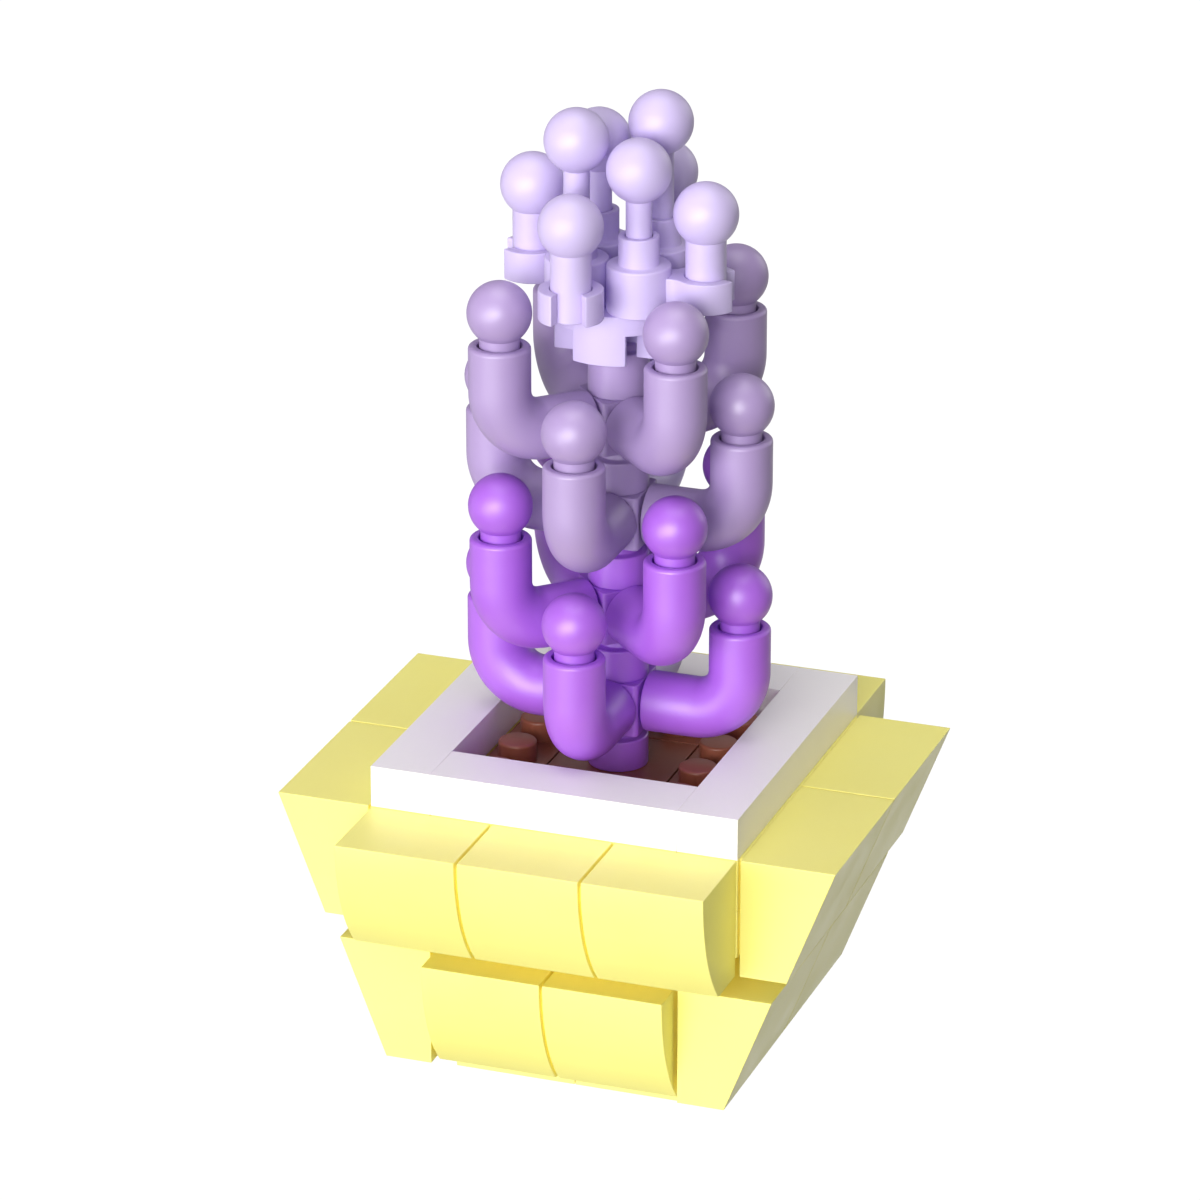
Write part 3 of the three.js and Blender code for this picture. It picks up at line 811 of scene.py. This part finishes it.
def crown_mesh():
    """The two by two round brick: a disc on a cross, with a recess below for the collar. Behind
    their outer walls the front and back arms are hollow, from the notch on either side."""
    far = CROWN_R + SINK
    notch = rectangle(CROWN_ARM, -far, far, -CROWN_ARM)
    hollow = rectangle(*HOLLOW)
    mirrored = [(-x, y) for x, y in reversed(hollow)]
    tools = []
    for i in range(AROUND):
        for shape in (notch, hollow, mirrored) if i % 2 == 0 else (notch,):
            tools.append(prism(shape, -SINK, CROWN_HEIGHT - CROWN_DISC))
            tools[-1].transform(turned(90 * i))
    tools.append(prism(circle(COLLAR_R + CHAMFER, STUD_SIDES), -SINK, CROWN_RECESS))
    mesh = less(prism(circle(CROWN_R, CROWN_SIDES), 0, CROWN_HEIGHT), *tools)
    bmesh.ops.dissolve_limit(mesh, angle_limit=FLAT, verts=mesh.verts, edges=mesh.edges)
    round_edges(mesh, CROWN_EDGE, angle=BLUNT)
    return mesh


def clip_brick_mesh():
    """A round brick with a collar, a bore for a thin pin, and a clip out along +X."""
    top = CLIP_BRICK_HEIGHT + CLIP_COLLAR
    body = lathe(
        [
            *collared(CLIP_BRICK_R, 0, CLIP_BRICK_HEIGHT, top, CLIP_FOOT_EDGE),
            (CLIP_BORE + CHAMFER, top),
            (CLIP_BORE, top - CHAMFER),
            (CLIP_BORE, top - BORE_DEPTH),
            (0, top - BORE_DEPTH),
        ],
        CLIP_SIDES,
    )
    middle = (CLIP_OUT, 0)
    outline = [*NECK_SIDE, *arc(middle, CLIP_R, CLIP_ARM, CLIP_LIP, 16)]
    outline += arc(middle, CLIP_INNER, CLIP_MOUTH, 180, 30)[:-1]
    mirrored = [(x, -y) for x, y in reversed(outline)]
    shape = [*outline, (CLIP_OUT - CLIP_INNER, 0), *mirrored]
    clip = prism(shape, CLIP_LOW, CLIP_LOW + CLIP_HEIGHT)
    round_edges(clip, CLIP_EDGE, angle=BLUNT)
    return joined(body, clip)


piece("crown", crown_mesh(), turned(0, CROWN_Z), "floret_lavender", "crown_brick")
for i, thin_rise in enumerate(THIN_RISE):
    n = i + 1
    corner = turned(90 * i, CLIP_BRICK_Z) @ shifted(STUD / 2, -STUD / 2, 0) @ turned(CLIP_TURN)
    piece(f"clip_round_{n}", clip_brick_mesh(), corner, "floret_lavender", f"clip_brick_{n}")
    ball, where = ball_mesh(THIN_R, THIN_LENGTH), corner @ shifted(0, 0, thin_rise)
    piece(f"thin_ball_{n}", ball, where, "floret_lavender", f"thin_pin_ball_{n}")
    ball = ball_mesh(THICK_R, THICK_RISE - CLIP_LOW)
    where = corner @ shifted(CLIP_OUT, 0, THICK_RISE)
    piece(f"thick_ball_{n}", ball, where, "floret_lavender", f"clipped_ball_{n}")

# ---------- stage, light and camera ----------

STAGE_REACH = 6  # metres
STAGE_WHITE = 1.05
FLOOR_DROP = 0.0005  # floor below the object, in metres
WORLD_STRENGTH = 0.2


def stage_object(name, mesh):
    """A white part of the stage, which only the camera sees: it lights and shades nothing."""
    material, nodes, links = empty_material(f"{name}_white")
    out = nodes.new("ShaderNodeOutputMaterial")
    light = nodes.new("ShaderNodeEmission")
    light.inputs["Color"].default_value = (1, 1, 1, 1)
    light.inputs["Strength"].default_value = STAGE_WHITE
    links.new(light.outputs["Emission"], out.inputs["Surface"])
    made = new_object(name, mesh)
    made.data.materials.append(material)
    made.visible_diffuse = False
    made.visible_glossy = False
    made.visible_shadow = False
    made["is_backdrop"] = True
    return made


floor_mesh = bmesh.new()
bmesh.ops.create_grid(floor_mesh, x_segments=2, y_segments=2, size=STAGE_REACH)
stage_object("floor", floor_mesh).location.z = -FLOOR_DROP
backdrop_mesh = bmesh.new()
bmesh.ops.create_icosphere(backdrop_mesh, subdivisions=4, radius=STAGE_REACH)
stage_object("backdrop", backdrop_mesh)

world = bpy.data.worlds.new("studio")
world.use_nodes = True
background = world.node_tree.nodes["Background"]
background.inputs["Color"].default_value = (1, 1, 1, 1)
background.inputs["Strength"].default_value = WORLD_STRENGTH
scene = bpy.context.scene
scene.world = world


def soft_light(name, azimuth, elevation, spread, strength, sheen_only):
    """A far round softbox. One for sheen shows only in reflections."""
    light = bpy.data.lights.new(name, "SUN")
    light.angle = math.radians(spread)
    light.energy = strength
    made = bpy.data.objects.new(name, light)
    bpy.context.collection.objects.link(made)
    made.visible_diffuse = not sheen_only
    a, e = math.radians(azimuth), math.radians(elevation)
    back = Vector((math.sin(a) * math.cos(e), -math.cos(a) * math.cos(e), math.sin(e)))
    made.rotation_mode = "QUATERNION"
    made.rotation_quaternion = (-back).to_track_quat("-Z", "Y")


LIGHTS = (
    # name, degrees to the right of the front, degrees up, width in degrees, strength, sheen only.
    # Those from below stand for the light that a white table throws back.
    ("key", -3, 12, 32, 1.62, False),
    ("key_left", -27, 0, 32, 1.05, False),
    ("key_right", 13, 15, 26, 0.85, False),
    ("front", 0, 25, 50, 0.25, False),
    ("side", -80, -8, 50, 0.25, False),
    ("overhead", 0, 90, 50, 1.27, False),
    ("floor_glow", 180, -40, 50, 0.25, False),
    ("floor_sheen", 172, -24, 44, 0.2, True),
    ("back_sheen", 195, 24, 44, 0.1, True),
    ("edge_sheen", 150, 13, 32, 0.5, True),
    ("floor_left", -120, -40, 50, 0.2, False),
    ("floor_front", 0, -40, 50, 0.2, False),
)
for values in LIGHTS:
    soft_light(*values)

# the photograph's view, in metres, with a lens and sensor in millimetres
CAMERA_AT = Vector((0.2445, -0.68421, 0.35678))
CAMERA_TO = Vector((-0.002434, 0, 0.05938))
camera_data = bpy.data.cameras.new("camera")
camera_data.sensor_width = 36
camera_data.lens = 189.19
camera_data.clip_start = 0.01
camera_data.clip_end = 30
camera = bpy.data.objects.new("camera", camera_data)
bpy.context.collection.objects.link(camera)
camera.location = CAMERA_AT
camera.rotation_mode = "QUATERNION"
camera.rotation_quaternion = (CAMERA_TO - CAMERA_AT).to_track_quat("-Z", "Y")
scene.camera = camera
scene.view_settings.view_transform = "Standard"
scene.view_settings.look = "None"
# the pale plastic scatters light between the florets many times
scene.cycles.diffuse_bounces = 12
scene.cycles.max_bounces = 16

low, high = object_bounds()
